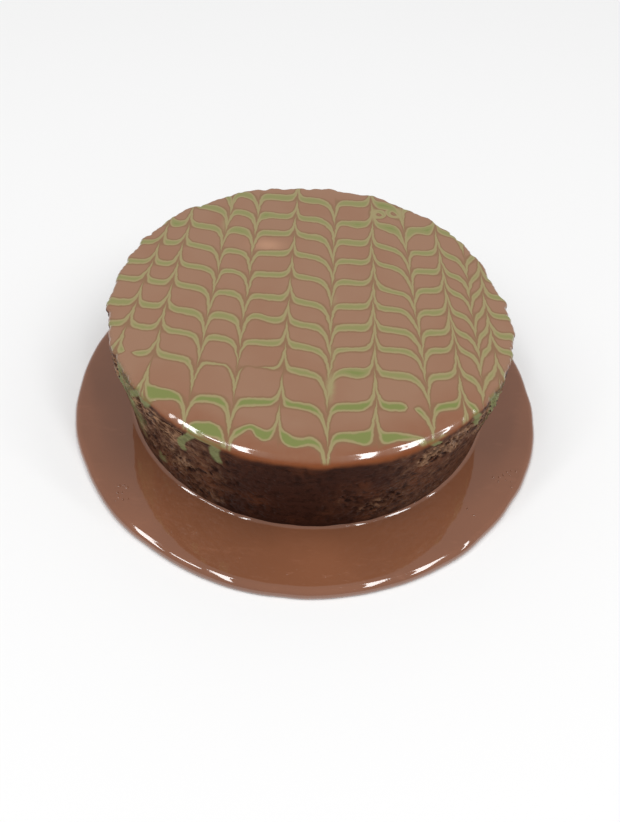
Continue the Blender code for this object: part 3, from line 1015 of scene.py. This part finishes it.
class TORTE_OT_bubbles(bpy.types.Operator):
    """Scatter a few bubbles and specks over the pool"""

    bl_idname = "torte.bubbles"
    bl_label = "Bubbles"

    def execute(self, context):
        scene = context.scene
        sizes, pool = scene.torte_crumbs, scene.torte_pool
        surface = bpy.data.objects["pool"].data
        x, y, level = np.array([v.co for v in surface.vertices]).T
        away = [np.hypot(x - spot_x, y - spot_y) / reach for spot_x, spot_y, reach in SPECK_PLACES]
        likely = np.exp(-np.min(away, axis=0) ** 2) * (np.abs(level - pool.depth) < LEVEL_WITHIN)
        material = pool_material(scene.torte_finish, "bubble_glaze")
        bubbles = scattered("bubbles", surface, likely, material,
                            BUBBLE_FLATNESS, sizes.bubble_radius, sizes.bubble_gap, sizes.seed)
        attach(bubbles, "root")
        return {"FINISHED"}


def floor_material():
    """Nearly white, matt and hardly uneven."""
    material, nodes = new_material("pale_floor")
    colour = nodes.mix(nodes.noise(nodes.place(), 3.0), shade(WHITE, 0.87), shade(WHITE, 0.88))
    finish_material(nodes, principled(nodes, Base_Color=colour, Roughness=0.6))
    return material


def mirrored(stage, azimuth, steepness):
    """The direction of the light that the edge, steep so much at an angle, throws into the camera."""
    around, up = math.radians(azimuth), math.radians(steepness)
    normal = Vector((math.sin(up) * math.cos(around), math.sin(up) * math.sin(around), math.cos(up)))
    edge = Vector((CAKE_RADIUS * math.cos(around), CAKE_RADIUS * math.sin(around), CAKE_TOP))
    view = (Vector(stage.camera_place) - edge).normalized()
    return 2.0 * normal.dot(view) * normal - view


def add_lamp(stage, name, glint):
    """A long lamp, far off, that the cake's edge mirrors as one glint."""
    azimuth, width, upper, lower = glint
    high, low = (mirrored(stage, azimuth, steepness) for steepness in (upper, lower))
    middle = (upper + lower) * 0.5
    left, right = (mirrored(stage, azimuth + side * width, middle) for side in (-0.5, 0.5))
    facing = (high + low).normalized()
    long_way = (high - low - (high - low).dot(facing) * facing).normalized()
    light = bpy.data.lights.new(name, "AREA")
    light.shape = "RECTANGLE"
    light.size = (right - left).length * stage.lamp_distance
    light.size_y = (high - low).length * stage.lamp_distance
    light.energy = stage.lamp_glow * math.pi * light.size * light.size_y
    turn = Matrix((long_way.cross(facing), long_way, facing)).transposed()
    lamp_place = Matrix.Translation(facing * stage.lamp_distance)
    add_object(name, light).matrix_world = lamp_place @ turn.to_4x4()


def add_camera(stage):
    """A camera that looks down along +Y, with a little roll."""
    pitched = Matrix.Rotation(math.radians(90.0) - stage.camera_pitch, 4, "X")
    rolled = Matrix.Rotation(stage.camera_roll, 4, "Z")
    camera = add_object("camera", bpy.data.cameras.new("camera"))
    camera.matrix_world = Matrix.Translation(stage.camera_place) @ pitched @ rolled
    camera.data.lens = stage.lens
    camera.data.clip_start = 0.01
    bpy.context.scene.camera = camera


class TORTE_OT_stage(bpy.types.Operator):
    """Make the floor, the light and the camera"""

    bl_idname = "torte.stage"
    bl_label = "Stage"

    def execute(self, context):
        stage = context.scene.torte_stage
        bpy.ops.mesh.primitive_circle_add(vertices=96, radius=stage.floor_radius, fill_type="NGON")
        floor = context.active_object
        floor.name = "floor"
        floor.data.materials.append(floor_material())
        world = bpy.data.worlds.new("studio")
        world.use_nodes = True
        background = world.node_tree.nodes["Background"]
        background.inputs["Color"].default_value = opaque(WHITE)
        background.inputs["Strength"].default_value = stage.daylight
        context.scene.world = world
        context.scene.view_settings.view_transform = "Standard"
        for number, glint in enumerate(GLINTS):
            add_lamp(stage, f"lamp_{number}", glint)
        add_camera(stage)
        return {"FINISHED"}


OPERATORS = (TORTE_OT_cake, TORTE_OT_pool, TORTE_OT_crumbs, TORTE_OT_bubbles, TORTE_OT_stage)
SETTINGS = {
    "torte_cake": CakeSizes, "torte_pool": PoolSizes, "torte_crumbs": CrumbSizes,
    "torte_finish": GlazeFinish, "torte_stage": StageSettings,
}


class TORTE_PT_panel(bpy.types.Panel):
    """Lists what the add-on makes"""

    bl_idname = "TORTE_PT_panel"
    bl_label = "Feathered torte"
    bl_space_type = "VIEW_3D"
    bl_region_type = "UI"
    bl_category = "Torte"

    def draw(self, context):
        for operator in OPERATORS:
            self.layout.operator(operator.bl_idname)
        for name, group in SETTINGS.items():
            box = self.layout.box()
            for setting in group.__annotations__:
                box.prop(getattr(context.scene, name), setting)


def register():
    for made in (*SETTINGS.values(), *OPERATORS, TORTE_PT_panel):
        bpy.utils.register_class(made)
    for name, group in SETTINGS.items():
        setattr(bpy.types.Scene, name, PointerProperty(type=group))


def unregister():
    for name in SETTINGS:
        delattr(bpy.types.Scene, name)
    for made in (TORTE_PT_panel, *reversed(OPERATORS), *reversed(SETTINGS.values())):
        bpy.utils.unregister_class(made)


def main():
    register()
    bpy.ops.torte.cake()
    bpy.ops.torte.pool()
    bpy.ops.torte.crumbs()
    bpy.ops.torte.bubbles()
    bpy.ops.torte.stage()


if __name__ == "__main__":
    main()
